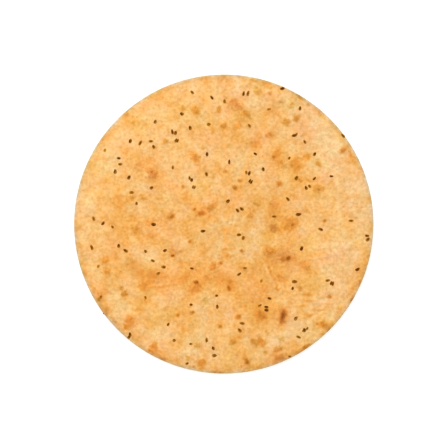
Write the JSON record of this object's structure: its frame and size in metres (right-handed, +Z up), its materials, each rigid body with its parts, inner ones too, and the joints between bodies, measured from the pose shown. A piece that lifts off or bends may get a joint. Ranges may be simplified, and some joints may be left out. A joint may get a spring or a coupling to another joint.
{
  "type": "khakhra flatbread",
  "caption": "Thin, crisp, round flatbread with a softly rippled sheet, low blisters and browned spots, speckled with small dark seeds; lies flat on its own heel.",
  "frame": {"origin": "middle of the flat heel on the underside, where the flatbread rests", "axes": "+Z up out of the blistered upper face, +X to the right and +Y away, in the plane of the disc"},
  "size_m": [0.18, 0.18, 0.0033],
  "materials": {
    "dough": "dry crisp baked wheat dough, golden tan with orange-brown roasted spots, matt with a faint sheen",
    "seeds": "small ridged dark brown seeds, matt"
  },
  "bodies": {
    "root": {"khakhra": "dough"}
  },
  "joints": []
}
